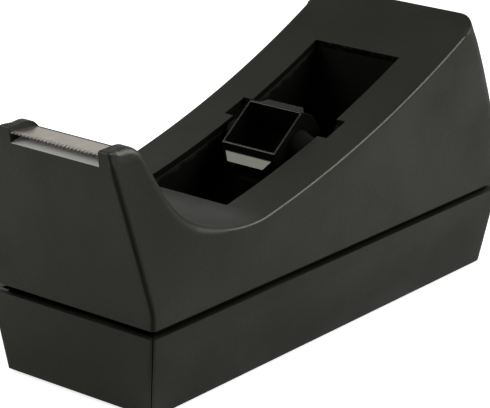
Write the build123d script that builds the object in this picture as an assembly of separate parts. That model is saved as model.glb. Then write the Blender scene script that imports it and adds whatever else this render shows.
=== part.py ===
from build123d import *
import os
from math import atan2, cos, radians, sin, sqrt

# Weighted desk tape dispenser with a small drawer under its nose.
#
# Frame: origin at the bottom centre of the box round the object, +X to the right, -Y towards the
# serrated cutter and the drawer, +Z up. All sizes are in millimetres.

# ---------------------------------------------------------------- driving sizes
# outside
tier_length = 139.4      # footprint of both tiers at the seam
tier_width = 48.2
nose_overhang = 4.8      # the nose leans forward past the seam
base_height = 19.7       # lower tier, without its feet
reveal = 1.9             # shadow gap between the tiers
skirt = 3.8              # upright band at the foot of the upper body
nose_height = 39.0       # seam to the front corner of the lugs
nose_width = 31.2        # over the lugs, at their front corners
lug_peak = 1.6           # the lugs rise this much behind their front corners
valley_height = 15.7     # seam to the lowest point of the saddle
back_height = 45.4       # seam to the top rear edge
back_rake = 17.5         # the top rear edge stands in front of the seam by this
base_draft = 2.8         # each face of the lower tier draws in by this, down to the desk
corner_round = 1.2       # front upright corners
rear_round = 4.0         # rear upright corners
wall = 2.2               # moulded wall of both tiers

# places along the length, from the front of the seam
nose_depth = 8.5         # cutter end of the lugs to their rear face
valley_from_front = 31.5
ramp_from_front = 39.7   # behind this the top is one long arc
ramp_rise = 0.3          # start of that arc above the valley
ramp_sag = 3.6           # the arc dips this far under its chord
well_from_front = 38.8   # front wall of the tape well

# tape well, hub and cutter
well_width = 25.0
well_length = 67.3
well_wall = 1.8
hub_drop = 25.5          # hub axis below the top rear edge
core_bore = 25.4         # a one-inch tape core slips over the hub
core_play = 1.6          # on the diameter, over the hub's grip lips
drum_width = 16.2
drum_height = 12.8       # across the open side and the side opposite it
drum_mouth = 13.0        # length of the open side
drum_wall = 1.3
drum_tilt = 37.0         # the open side faces forwards and up
trunnion_d = 2.6         # stub shafts moulded on the drum's ends
bushing_running = 0.05   # radial, trunnion in its bushing
bushing_d = 4.2          # loose rings that lie in the slots
bushing_length = 2.8
slot_play = 0.1          # radial, bushing in its slot; also trunnion tip to the slot's end
slot_depth = 2.7         # each slot reaches this far into the side of the well
slot_lean = 38.0         # the slots lean back, so that a pull on the tape seats the hub
hub_end_play = 0.6       # drum collars to the sides of the well
ledge_drop = 3.6         # lug front corners to the ledge in front of the cutter
cutter_drop = 1.3        # lug front corners to the cutter's top
cutter_steel = 0.5
cutter_depth = 6.9
cutter_tuck = 1.0        # each end of the cutter sits in a slot in its lug
tooth_pitch = 1.04
tooth_depth = 1.3
tooth_bend = 24.0        # the toothed edge turns down by this angle

# lower tier, drawer and feet
floor = 2.0
neck_inset = 2.6         # the neck in the shadow gap stands this far inside the faces
neck_wall = 1.6
rim_height = 2.5
seam_gap = 0.3           # drawer front to its neighbours
plate_steel = 1.5
plate_rise = 0.4         # the chassis plate lies this far above the seam
tray_length = 38.0
tray_width = 35.0
tray_height = 14.2
tray_wall = 1.4
tray_split = 9.0         # height of the rib between the two compartments
tray_side_play = 0.4
runner_steel = 0.7       # thickness of the low-friction runner strips
runner_height = 5.0
stop_drop = 4.0          # the stop lip hangs this far below the chassis plate
stop_from_front = 10.5   # the drawer stays this far inside its housing, less its wall and the lip
stop_width = 18.0
foot_d = 9.0
foot_thick = 1.6
foot_proud = 0.6
foot_inset_x = 10.0      # from the side of the footprint
foot_inset_y = 12.0      # from its ends

# fasteners and ballast
boss_d = 5.6
screw_d = 2.6
screw_play = 0.3         # on the diameter, screw in a free hole
screw_bed = 0.02         # on the diameter, screw in the boss that it holds in
screw_head_d = 5.0
screw_head = 1.4
screw_bite = 9.0         # length of a long screw inside its upper boss
short_screw = 6.0        # ballast screws
tray_screw_d = 2.2       # drawer screws
boss_inset_x = 6.5       # boss axes from the side of the footprint
rear_boss_inset = 24.0   # from the rear of the footprint
nose_boss_inset_x = 7.5
nose_boss_from_front = 15.0
ballast_gap = 1.0

# ---------------------------------------------------------------- derived places
overall_length = tier_length + nose_overhang
back_y = overall_length / 2
front_y = back_y - tier_length
nose_y = -back_y
half_w = tier_width / 2
base_z = foot_proud
base_top = base_z + base_height
seam_z = base_top + reveal
skirt_z = seam_z + skirt
lug_z = seam_z + nose_height
top_z = seam_z + back_height
well_front = front_y + well_from_front
well_back = well_front + well_length
hub_y = (well_front + well_back) / 2
hub_z = top_z - hub_drop
well_half = well_width / 2
well_radius = well_length / 2
plate_z = seam_z + plate_rise
plate_top = plate_z + plate_steel
floor_top = base_z + floor
ledge_z = lug_z - ledge_drop
cutter_top = lug_z - cutter_drop
shelf_z = cutter_top - cutter_steel
lug_rear_y = nose_y + nose_depth
boss_x = half_w - boss_inset_x
mid_boss_y = well_front + 8.5
rear_boss_y = back_y - rear_boss_inset
nose_boss_y = front_y + nose_boss_from_front
nose_boss_x = half_w - nose_boss_inset_x
housing_bosses = [(side * boss_x, y) for side in (-1, 1) for y in (mid_boss_y, rear_boss_y)]
body_bosses = housing_bosses + [(-nose_boss_x, nose_boss_y), (nose_boss_x, nose_boss_y)]
FAR = 4 * overall_length

os.makedirs("parts", exist_ok=True)


def box(x0, x1, y0, y1, z0, z1):
    """A block from its six faces."""
    size = (x1 - x0, y1 - y0, z1 - z0)
    centre = ((x0 + x1) / 2, (y0 + y1) / 2, (z0 + z1) / 2)
    return Pos(*centre) * Box(*size)


def upright(x, y, z0, z1, d):
    """An upright cylinder."""
    return Pos(x, y, (z0 + z1) / 2) * Cylinder(d / 2, z1 - z0)


def across(y, z, half, d):
    """A cylinder along X, centred on x = 0."""
    return Pos(0, y, z) * Rot(0, 90, 0) * Cylinder(d / 2, 2 * half)


def side_face(edges):
    """A face in the Y-Z plane from edges drawn as (y, z)."""
    return Plane.YZ * make_face(edges)


def mirrored(solid):
    """A left-hand copy of a right-hand solid."""
    return mirror(solid, about=Plane.YZ)


# ---------------------------------------------------------------- upper body
def side_outline(inset, z0):
    """Side view of the upper body: leaning nose, saddle, rising ramp and curved back.

    The points are moved inwards along their normals by `inset`; the outline starts at z0.
    """
    lean = nose_overhang / (lug_z - skirt_z)
    peak_z = lug_z + lug_peak
    valley_y, valley_z = front_y + valley_from_front, seam_z + valley_height
    ramp_y, ramp_z = front_y + ramp_from_front, valley_z + ramp_rise
    run = back_y - back_rake - ramp_y
    rise = top_z - ramp_z
    chord = sqrt(run ** 2 + rise ** 2)
    start_angle = atan2(rise, run) - 2 * atan2(2 * ramp_sag, chord)
    back_mid_z = skirt_z + 0.54 * (top_z - skirt_z)

    def inward(y, z, normal_y, normal_z):
        return y - inset * normal_y, z - inset * normal_z

    front_foot = inward(front_y, z0, -1, 0)
    front_skirt = inward(front_y, skirt_z, -1, 0)
    front_top = inward(front_y - lean * (lug_z - skirt_z), lug_z, -1, 0)
    lug_rear = inward(lug_rear_y, cutter_top, 0.92, 0.38)
    foot = inward(lug_rear_y + 8.6, valley_z + 7.3, 0.75, 0.66)
    valley = inward(valley_y, valley_z, 0, 1)
    ramp_foot = inward(ramp_y, ramp_z, -sin(start_angle), cos(start_angle))
    ramp_mid = inward(ramp_y + run / 2 + ramp_sag * rise / chord,
                      ramp_z + rise / 2 - ramp_sag * run / chord, -rise / chord, run / chord)
    rear_top = inward(back_y - back_rake, top_z, 0.39, 1.31)
    back_mid = inward(back_y - 0.41 * back_rake, back_mid_z, 0.93, 0.37)
    back_skirt = inward(back_y, skirt_z, 1, 0)
    back_foot = inward(back_y, z0, 1, 0)
    front = Polyline(back_skirt, back_foot, front_foot, front_skirt, front_top)
    if inset:
        lug = Line(front_top, lug_rear)
    else:
        lug = Spline(front_top, (nose_y + 3.2, peak_z), (lug_rear_y - 1.6, peak_z - 0.9),
                     lug_rear, tangents=((0.55, 0.8), (0.3, -1.0)))
    saddle = Spline(lug_rear, foot, valley, ramp_foot,
                    tangents=((0.38, -0.92), (cos(start_angle), sin(start_angle))))
    ramp = ThreePointArc(ramp_foot, ramp_mid, rear_top)
    back = ThreePointArc(rear_top, back_mid, back_skirt)
    return side_face([front, lug, saddle, ramp, back])


def cross_section(y, inset, z0):
    """Front view of the upper body at y: an upright skirt, then sides that draw in."""
    blend = max((y - nose_y) / (valley_from_front + nose_overhang), 0.0)
    smooth = blend * blend * (3 - 2 * blend)
    lug_half = nose_width / 2 + (half_w - nose_width / 2) * smooth
    top = top_z + 4
    reach = (top - skirt_z) / (lug_z - skirt_z)
    foot_half = half_w - inset
    top_half = foot_half - (half_w - lug_half) * reach
    pts = [(-foot_half, z0), (foot_half, z0), (foot_half, skirt_z), (top_half, top),
           (-top_half, top), (-foot_half, skirt_z)]
    plane = Plane(origin=(0, y, 0), x_dir=(1, 0, 0), z_dir=(0, -1, 0))
    return plane * make_face(Polyline(*pts, close=True))


def upper_sides(inset, z0):
    """Everything between the two long sides, `inset` inside them."""
    run = valley_from_front + nose_overhang
    stations = [nose_y + run * k for k in (-0.2, 0.0, 0.2, 0.4, 0.6, 0.8, 1.0)]
    nose = loft([cross_section(y, inset, z0) for y in stations])
    rest = box(inset - half_w, half_w - inset, stations[-1], FAR, z0, top_z + 4)
    return nose + rest


def upper_solid():
    """The outer form of the upper body, with its upright corners rounded."""
    outline = extrude(side_outline(0, seam_z), amount=half_w + 1, both=True)
    solid = outline & upper_sides(0, seam_z)

    def uprights(solid, y0, y1):
        return [e for e in solid.edges() if y0 < e.center().Y < y1
                and abs(e.center().X) > nose_width / 2 + 1
                and e.bounding_box().size.Z > skirt - 0.5]

    solid = fillet(uprights(solid, back_y - back_rake / 2, FAR), rear_round)
    return fillet(uprights(solid, -FAR, front_y + 1), corner_round)


def upper_cavity():
    """The inside of the upper body, open below; the nose stays solid above its ledge."""
    inner = extrude(side_outline(wall, -seam_z), amount=half_w, both=True)
    inner = inner & upper_sides(wall, -seam_z)
    nose_cap = box(-FAR, FAR, -FAR, front_y + valley_from_front, ledge_z - wall, FAR)
    return inner - nose_cap


def well_outline(grow, top):
    """Side view of the tape well: upright ends over a round floor about the hub axis."""
    r = well_radius + grow
    low = Polyline((hub_y - r, hub_z), (hub_y - r, top), (hub_y + r, top), (hub_y + r, hub_z))
    arc = ThreePointArc((hub_y - r, hub_z), (hub_y, hub_z - r), (hub_y + r, hub_z))
    return side_face([low, arc])


def slot_cut(half):
    """The slanted slots for the hub's bushings, cut from their seats out through the top."""
    width = bushing_d + 2 * slot_play
    reach = 2 * hub_drop
    lane = Pos(0, 0, reach / 2) * Box(2 * half, width, reach)
    seat = Rot(0, 90, 0) * Cylinder(width / 2, 2 * half)
    return Pos(0, hub_y, hub_z) * Rot(-slot_lean, 0, 0) * (lane + seat)


def cutter_profile(grow):
    """Side view of the bent steel strip, `grow` larger all round."""
    rear = lug_rear_y - 0.4
    bend = rear - cutter_depth + tooth_depth + 0.6
    drop = (tooth_depth + 0.6) * sin(radians(tooth_bend))
    tip = bend - (tooth_depth + 0.6) * cos(radians(tooth_bend))
    t = cutter_steel
    pts = [(rear + grow, cutter_top + grow), (bend, cutter_top + grow), (tip, cutter_top - drop + grow),
           (tip, cutter_top - drop - t - grow), (bend, cutter_top - t - grow),
           (rear + grow, cutter_top - t - grow)]
    return side_face([Polyline(*pts, close=True)])


def make_cutter():
    """Serrated strip: flat where it is held, toothed and turned down in front."""
    half = well_half + cutter_tuck
    strip = extrude(cutter_profile(0), amount=half, both=True)
    tips = lug_rear_y - 0.4 - cutter_depth + 0.6 * (1 - cos(radians(tooth_bend)))
    count = int(2 * (well_half - 0.3) / tooth_pitch)
    first = -(count - 1) * tooth_pitch / 2
    notch = Polyline((-tooth_pitch / 2, -1), (tooth_pitch / 2, -1), (tooth_pitch / 2, 0),
                     (0, tooth_depth), (-tooth_pitch / 2, 0), close=True)
    for k in range(count + 1):
        x = first + (k - 0.5) * tooth_pitch
        gap = Pos(x, tips, cutter_top - 4) * extrude(make_face(notch), amount=8)
        strip -= gap
    ends = box(well_half - 0.3, FAR, -FAR, tips + tooth_depth + 0.8, -FAR, FAR)
    return strip - ends - mirrored(ends)


def nose_cuts():
    """The window between the lugs: a ledge in front, a shelf under the cutter, and its slots."""
    window = box(-well_half, well_half, -FAR, front_y, ledge_z, FAR)
    shelf = box(-well_half, well_half, -FAR, lug_rear_y + 2, shelf_z, FAR)
    tuck = extrude(cutter_profile(0.02), amount=well_half + cutter_tuck + 0.02, both=True)
    held = box(-FAR, FAR, lug_rear_y - cutter_depth + tooth_depth + 0.2, lug_rear_y, -FAR, FAR)
    return window + shelf + (tuck & held)


def make_body(cavity):
    """Moulded upper shell with its lugs, tape opening, bushing slots and screw bosses."""
    outside = upper_solid()
    shell = outside - cavity
    for x, y in body_bosses:
        shell += upright(x, y, plate_top, FAR, boss_d) & outside
    shell -= extrude(well_outline(0, FAR), amount=well_half, both=True)
    shell -= slot_cut(well_half + slot_depth)
    shell -= nose_cuts()
    for x, y in body_bosses:
        shell -= upright(x, y, plate_top - 1, plate_top + screw_bite, screw_d + screw_bed)
    return shell


def make_well(cavity):
    """Tape well: a round-floored tub under the opening, with cheeks that carry the bushings."""
    tub = extrude(well_outline(well_wall, FAR), amount=well_half + well_wall, both=True)
    cheek_half = well_half + slot_depth + well_wall
    cheek = Pos(0, hub_y, hub_z) * Rot(-slot_lean, 0, 0) * Pos(0, 0, hub_drop - bushing_d)
    cheek *= Box(2 * cheek_half, bushing_d + 2 * well_wall, 2 * hub_drop)
    reach = sqrt((well_radius + well_wall) ** 2 - (hub_z - plate_top) ** 2)
    tab = box(-well_half, well_half, hub_y - reach - 3, hub_y + reach + 3, plate_top, plate_top + wall)
    tub = (tub + cheek + tab) & cavity
    tub -= extrude(well_outline(0, FAR), amount=well_half, both=True)
    return tub - slot_cut(well_half + slot_depth)


# ---------------------------------------------------------------- hub
def drum_frame():
    """The drum's own frame: local Y runs up its open side, local Z out of it."""
    return Pos(0, hub_y, hub_z) * Rot(drum_tilt, 0, 0)


def drum_outline(grow):
    """Eight-sided end view of the drum."""
    flat = drum_mouth / 2 + grow
    top = drum_height / 2 + grow
    side = flat + 2.3
    lobe = top * 0.36
    pts = [(-flat, top), (flat, top), (side, lobe), (side, -lobe), (flat, -top), (-flat, -top),
           (-side, -lobe), (-side, lobe)]
    return side_face([Polyline(*pts, close=True)])


def grip_lip():
    """A thin lip beside the open side, with bevelled ends, that reaches the tape core."""
    grip = (core_bore - core_play) / 2
    root = drum_mouth / 2 - 0.4
    top = drum_height / 2
    tip = sqrt(grip ** 2 - (top - 1.3) ** 2)
    side = side_face([Polyline((root, top), (root + 2.6, top - 0.5), (tip, top - 1.3),
                               (tip - 0.3, top - 2.3), (root + 2.0, top - 1.9), (root, top - 1.6),
                               close=True)])
    wide = drum_width / 2 - 1.2
    narrow = drum_width / 2 - 2.9
    plan = make_face(Polyline((-wide, root), (-wide, root + 2.4), (-narrow, tip), (narrow, tip),
                              (wide, root + 2.4), (wide, root), close=True))
    return extrude(side, amount=drum_width, both=True) & extrude(plan, amount=FAR, both=True)


def make_drum():
    """Hollow eight-sided drum with one open side, four grip lips and a trunnion at each end."""
    half = drum_width / 2
    drum = extrude(drum_outline(0), amount=half, both=True)
    mouth = drum_mouth / 2 - 0.4
    deep = drum_height - drum_wall
    drum -= Pos(0, 0, drum_height / 2 - deep / 2 + 0.5) * Box(2 * half - 2 * drum_wall, 2 * mouth,
                                                            deep + 1)
    lip = grip_lip()
    for turn in (0, 180):
        drum += Rot(turn, 0, 0) * lip
        drum += Rot(turn, 0, 0) * mirror(lip, about=Plane.XZ)
    reach = well_half - hub_end_play
    tip = well_half + slot_depth - slot_play
    root = half - drum_wall / 2
    collar = Rot(0, 90, 0) * Cone(bushing_d / 2 + 2.6, bushing_d / 2 + 1.2, reach - root)
    trunnion = Rot(0, 90, 0) * Cylinder(trunnion_d / 2, tip - root)
    end = Pos((reach + root) / 2, 0, 0) * collar + Pos((tip + root) / 2, 0, 0) * trunnion
    return drum_frame() * (drum + end + mirrored(end))


def make_bushing():
    """Right-hand bushing: a loose ring on the trunnion that lies in its slot."""
    ring = Rot(0, 90, 0) * Cylinder(bushing_d / 2, bushing_length)
    ring = chamfer(ring.edges(), 0.3)
    ring -= Rot(0, 90, 0) * Cylinder(trunnion_d / 2 + bushing_running, 2 * bushing_length)
    return Pos(well_half + slot_depth - slot_play - bushing_length / 2, hub_y, hub_z) * ring


# ---------------------------------------------------------------- lower tier
def lower_solid(inset, z0, z1):
    """The tapering block of the lower tier, `inset` inside its faces."""
    def ring(z):
        draw = base_draft * (base_top - z) / base_height + inset
        return Pos(0, (front_y + back_y) / 2, z) * Rectangle(tier_width - 2 * draw,
                                                             tier_length - 2 * draw)
    block = loft([ring(z0), ring(z1)], ruled=True)
    uprights = [e for e in block.edges() if e.bounding_box().size.Z > (z1 - z0) / 2]
    rear = [e for e in uprights if e.center().Y > 0]
    front = [e for e in uprights if e.center().Y < 0]
    block = fillet(rear, max(rear_round - inset, 0.8))
    front = [e for e in block.edges() if e.bounding_box().size.Z > (z1 - z0) / 2
             and e.center().Y < 0]
    return fillet(front, max(corner_round - inset, 0.3))


def front_wedge(gap):
    """Room of the drawer front, mitred at both upright corners; `gap` pulls it forwards."""
    depth = wall + 3 * seam_gap
    wide = half_w + depth
    near = front_y - depth - gap
    face = make_face(Polyline((-wide, near), (wide, near), (0, near + wide), close=True))
    cut = extrude(Pos(0, 0, -1) * face, amount=base_top + 2)
    return cut & box(-FAR, FAR, -FAR, front_y + base_draft + depth, -FAR, FAR)


def screw(x, y, z_head, z_tip):
    """Pan-head screw with its head below and its tip above."""
    head = upright(x, y, z_head, z_head + screw_head, screw_head_d)
    return head + upright(x, y, z_head, z_tip, screw_d)


def make_housing():
    """Lower tier: floor, two sides, back, rim, neck in the shadow gap, bosses and guides."""
    outer = lower_solid(0, base_z, base_top)
    hollow = lower_solid(wall, base_z - 1, base_top + 1) & box(-FAR, FAR, -FAR, FAR, floor_top, FAR)
    shell = outer - hollow
    rim = outer & box(-FAR, FAR, front_y + 4, FAR, base_top - rim_height, base_top)
    inner = half_w - neck_inset - neck_wall
    opening = box(-inner, inner, -FAR, back_y - neck_inset - neck_wall, floor_top, FAR)
    neck = box(-inner - neck_wall, inner + neck_wall, front_y + 4, back_y - neck_inset,
               base_top - rim_height, plate_z)
    neck = fillet([e for e in neck.edges().filter_by(Axis.Z) if e.center().Y > 0],
                  rear_round - neck_inset + 1)
    shell += (rim + neck) - opening
    for x, y in housing_bosses:
        shell += upright(x, y, base_z, plate_z, boss_d + 1)
    guide = tray_width / 2 + tray_side_play + runner_steel
    rail = box(guide, guide + 1.2, front_y + 8, well_front - 2, base_z, floor_top + runner_height)
    shell += rail + mirrored(rail)
    shell -= front_wedge(-seam_gap / 2)
    for x, y in housing_bosses:
        shell -= upright(x, y, -1, FAR, screw_d + screw_play)
        shell -= upright(x, y, -1, floor_top, screw_head_d + screw_play)
    for x, y in foot_spots():
        shell -= upright(x, y, -1, foot_thick, foot_d + 0.2)
    for y in rear_ballast_screws():
        shell -= upright(0, y, -1, FAR, screw_d + screw_play)
        shell -= upright(0, y, -1, base_z + screw_head, screw_head_d + screw_play)
    return shell


def foot_spots():
    x = half_w - foot_inset_x
    return [(x, front_y + foot_inset_y), (-x, front_y + foot_inset_y),
            (x, back_y - foot_inset_y), (-x, back_y - foot_inset_y)]


def make_foot(x, y):
    """Round rubber pad glued in a recess of the floor."""
    pad = upright(x, y, 0, foot_thick, foot_d)
    return fillet(pad.edges().group_by(Axis.Z)[0], 0.3)


# ---------------------------------------------------------------- ballast
def rear_ballast_span():
    front = hub_y + sqrt((well_radius + well_wall) ** 2 - (hub_z - base_top) ** 2) + ballast_gap
    return front, back_y - wall - base_draft - ballast_gap


def rear_ballast_screws():
    y0, y1 = rear_ballast_span()
    return [y0 + 7, y1 - 7]


def make_ballast_rear():
    """Cast block on the floor behind the well."""
    y0, y1 = rear_ballast_span()
    half = boss_x - boss_d / 2 - 0.5 - ballast_gap
    block = box(-half, half, y0, y1, floor_top, base_top - 0.5)
    block = chamfer(block.edges().group_by(Axis.Z)[-1], 0.8)
    for y in rear_ballast_screws():
        block -= upright(0, y, floor_top - 1, floor_top + short_screw, screw_d + screw_bed)
    return block


def nose_ballast_span():
    return front_y + wall + 4.0, well_front - well_wall - ballast_gap - 3.0


def nose_ballast_screws():
    y0, y1 = nose_ballast_span()
    return [y0 + 9, y1 - 9]


def make_ballast_nose():
    """Cast block on the chassis plate, inside the nose."""
    y0, y1 = nose_ballast_span()
    half = nose_boss_x - boss_d / 2 - ballast_gap
    top = seam_z + valley_height - wall - ballast_gap
    block = box(-half, half, y0, y1, plate_top, top)
    block = chamfer(block.edges().group_by(Axis.Z)[-1], 0.8)
    for y in nose_ballast_screws():
        block -= upright(0, y, plate_top - 1, plate_top + short_screw, screw_d + screw_bed)
    return block


# ---------------------------------------------------------------- chassis plate and screws
def make_plate():
    """Steel plate that closes the upper body, with an opening for the well and a stop lip."""
    inset = wall + 0.3
    mid_y = (front_y + back_y) / 2
    plate = Pos(0, mid_y, plate_z) * extrude(RectangleRounded(tier_width - 2 * inset,
                                                              tier_length - 2 * inset, 1.6),
                                             amount=plate_steel)
    reach = sqrt((well_radius + well_wall) ** 2 - (hub_z - plate_top) ** 2) + 0.5
    side = well_half + well_wall + 0.5
    plate -= box(-side, side, hub_y - reach, hub_y + reach, plate_z - 1, plate_top + 1)
    lip_y = front_y + stop_from_front
    lip = box(-stop_width / 2, stop_width / 2, lip_y, lip_y + plate_steel, plate_z - stop_drop, plate_z)
    plate += lip
    for x, y in body_bosses:
        plate -= upright(x, y, plate_z - 1, plate_top + 1, screw_d + screw_play)
    for y in nose_ballast_screws():
        plate -= upright(0, y, plate_z - 1, plate_top + 1, screw_d + screw_play)
    return plate


def make_housing_screws():
    head = floor_top - screw_head
    return [screw(x, y, head, plate_top + screw_bite - 0.5) for x, y in housing_bosses]


def make_chassis_screws():
    head = plate_z - screw_head
    return [screw(x, nose_boss_y, head, plate_top + screw_bite - 0.5)
            for x in (-nose_boss_x, nose_boss_x)]


def make_ballast_screws():
    rear = [screw(0, y, base_z, floor_top + short_screw - 0.5) for y in rear_ballast_screws()]
    nose = [screw(0, y, plate_z - screw_head, plate_top + short_screw - 0.5)
            for y in nose_ballast_screws()]
    return rear + nose


# ---------------------------------------------------------------- drawer
tray_front = front_y + base_draft + wall + 0.2
tray_back = tray_front + tray_length
tray_z = floor_top + runner_steel + 0.02


def make_drawer_front():
    """The whole front of the lower tier, with mitred ends and two pads for the tray's screws."""
    skin = lower_solid(0, base_z, base_top) - lower_solid(wall, base_z - 1, base_top + 1)
    skin = skin & front_wedge(seam_gap / 2)
    skin = skin & box(-FAR, FAR, -FAR, tray_front, base_z + seam_gap, base_top)
    for x in front_screw_x():
        pad = Pos(x, tray_front - base_draft, tray_z + tray_height / 2)
        pad *= Rot(90, 0, 0) * Cylinder(boss_d / 2, 2 * base_draft)
        skin += pad & lower_solid(wall / 2, base_z, base_top) & box(-FAR, FAR, -FAR, tray_front,
                                                                   base_z, base_top)
    for x in front_screw_x():
        skin -= Pos(x, tray_front - 1.2, tray_z + tray_height / 2) * (
            Rot(90, 0, 0) * Cylinder(tray_screw_d / 2 + screw_bed / 2, 2.4))
    return skin


def front_screw_x():
    return (-tray_width / 4, tray_width / 4)


def make_tray():
    """Open tray with one dividing rib and a catch on its rear wall for the stop."""
    half = tray_width / 2
    tray = box(-half, half, tray_front, tray_back, tray_z, tray_z + tray_height)
    tray = fillet([e for e in tray.edges().filter_by(Axis.Z) if e.center().Y > tray_front + 1], 2.0)
    t = tray_wall
    inside = box(-half + t, half - t, tray_front + t, tray_back - t, tray_z + t, FAR)
    inside = fillet(inside.edges().group_by(Axis.Z)[0], 1.0)
    tray -= inside
    rib_y = tray_front + tray_length * 0.55
    tray += box(-half + t / 2, half - t / 2, rib_y - t / 2, rib_y + t / 2, tray_z + t / 2,
                tray_z + tray_split)
    catch_top = plate_z - screw_head - 0.4
    tray += box(-stop_width / 2 + 1, stop_width / 2 - 1, tray_back - t, tray_back,
                tray_z + tray_height - 1, catch_top)
    for x in front_screw_x():
        tray -= Pos(x, tray_front + t / 2, tray_z + tray_height / 2) * (
            Rot(90, 0, 0) * Cylinder(tray_screw_d / 2 + screw_play / 2, 3 * t))
    return tray


def make_drawer_screws():
    """Two short screws from inside the tray into the drawer front."""
    screws = []
    for x in front_screw_x():
        z = tray_z + tray_height / 2
        y = tray_front + tray_wall
        shank = Pos(x, y - 1.6, z) * Rot(90, 0, 0) * Cylinder(tray_screw_d / 2, 3.4)
        head = Pos(x, y + screw_head / 2, z) * Rot(90, 0, 0) * Cylinder(screw_head_d / 2, screw_head)
        screws.append(shank + head)
    return screws


def make_runner():
    """Right-hand low-friction angle strip, under and beside the tray."""
    half = tray_width / 2
    edge = half + tray_side_play
    y0 = front_y + 8
    y1 = well_front - 2
    flat = box(half - 4, edge, y0, y1, floor_top, floor_top + runner_steel)
    return flat + box(edge, edge + runner_steel, y0, y1, floor_top, floor_top + runner_height)


def save(name, solid):
    """Write one node; a list becomes a group of separate solids."""
    if isinstance(solid, list):
        solid = Compound(children=solid)
    export_step(solid, "parts/" + name + ".step")


def main():
    cavity = upper_cavity()
    save("body_shell", make_body(cavity))
    save("tape_well", make_well(cavity))
    save("cutter_blade", make_cutter())
    save("hub_drum", make_drum())
    bushing = make_bushing()
    save("hub_bushing_right", bushing)
    save("hub_bushing_left", mirrored(bushing))
    save("chassis_plate", make_plate())
    save("chassis_screws", make_chassis_screws())
    save("ballast_nose", make_ballast_nose())
    save("ballast_rear", make_ballast_rear())
    save("ballast_screws", make_ballast_screws())
    save("base_housing", make_housing())
    save("housing_screws", make_housing_screws())
    save("drawer_front", make_drawer_front())
    save("drawer_tray", make_tray())
    save("drawer_screws", make_drawer_screws())
    runner = make_runner()
    save("drawer_runner_right", runner)
    save("drawer_runner_left", mirrored(runner))
    names = ("front_right", "front_left", "rear_right", "rear_left")
    for name, (x, y) in zip(names, foot_spots()):
        save("foot_pad_" + name, make_foot(x, y))


main()
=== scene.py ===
# %% [markdown]
# # A weighted tape dispenser with a small drawer
#
# The object is a desk tape dispenser moulded in dark charcoal plastic: an upper body with a leaning
# nose, two lugs and a cutter, a saddle that rises to the back, a well with a lift-out hub, and below
# a shadow gap a tapered base whose front is a drawer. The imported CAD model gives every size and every
# moving body. This script adds the finished surfaces, the materials, the studio and the camera.

# %% Load the frame
import math
import bmesh
import bpy
import numpy as np
from mathutils import Matrix, Vector
from mathutils.geometry import delaunay_2d_cdt


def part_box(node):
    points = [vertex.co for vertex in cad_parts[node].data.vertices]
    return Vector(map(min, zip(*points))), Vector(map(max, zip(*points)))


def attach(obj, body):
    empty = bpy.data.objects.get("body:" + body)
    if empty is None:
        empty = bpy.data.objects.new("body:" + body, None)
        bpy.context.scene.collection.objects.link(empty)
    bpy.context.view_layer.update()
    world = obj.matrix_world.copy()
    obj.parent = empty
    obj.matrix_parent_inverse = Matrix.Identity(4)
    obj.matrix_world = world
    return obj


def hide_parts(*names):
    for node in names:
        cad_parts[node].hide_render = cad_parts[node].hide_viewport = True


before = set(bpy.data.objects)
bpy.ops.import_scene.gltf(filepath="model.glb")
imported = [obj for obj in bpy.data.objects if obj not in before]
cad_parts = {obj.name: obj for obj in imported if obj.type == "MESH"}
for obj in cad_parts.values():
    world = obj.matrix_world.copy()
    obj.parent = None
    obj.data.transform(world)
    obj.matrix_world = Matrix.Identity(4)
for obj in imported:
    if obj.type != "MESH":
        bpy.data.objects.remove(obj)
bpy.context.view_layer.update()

# %% [markdown]
# ## Measures shared by the pieces
#
# Everything is worked out in millimetres and turned into metres once, when a mesh is made. The large
# sizes are read from the CAD nodes' own boxes, so that the finished surfaces and the CAD stay together.

# %% Main measures
MM = 0.001
shell_low, shell_high = (np.array(v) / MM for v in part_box("body_shell"))
half_w = 24.1
nose_y, back_y = shell_low[1], shell_high[1]
seam_z, top_z = shell_low[2], shell_high[2]
nose_overhang, valley_from_front, ramp_from_front = 4.8, 31.5, 39.7
front_y = nose_y + nose_overhang
skirt_z = seam_z + 3.8
lug_z = seam_z + 39.0
lug_rear_y = nose_y + 8.5
ledge_z = lug_z - 3.6
cutter_top = lug_z - 1.3
shelf_z = cutter_top - 0.5
hub_y, hub_z = 5.15, top_z - 25.5
well_half, well_radius = 12.5, 33.65
lug_half, slot_half, lane_half = 15.6, 15.2, 2.2
rear_round, rear_round_low = 7.2, 4.0
slot_lean = math.radians(38)
drum_tilt = math.radians(37)
print("hub axis at y %.2f, z %.2f" % (hub_y, hub_z))

# %% [markdown]
# ## Tools for building surfaces
#
# A surface is a grid of points: rows along the piece, columns across it. A grid of points becomes
# faces by joining each point to its neighbours, and grids that share a border are welded there. A flat
# face with a free border is filled with a net of triangles instead.

# %% Grids and nets
def grid(points, keep=None):
    """Quads of a grid of points: corner (i, j) joins (i, j+1), (i+1, j+1) and (i+1, j)."""
    rows, cols = points.shape[:2]
    k = np.arange(rows * cols).reshape(rows, cols)
    quads = np.stack([k[:-1, :-1], k[:-1, 1:], k[1:, 1:], k[1:, :-1]], -1).reshape(-1, 4)
    if keep is not None:
        quads = quads[keep.reshape(-1)]
    return points.reshape(-1, 3), quads.tolist()


def bridge(a, b, steps):
    """Ruled surface between two lines of points: the straight mix (1 - t) a + t b."""
    t = np.linspace(0, 1, steps + 1)[:, None, None]
    return grid((1 - t) * a + t * b)


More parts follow.
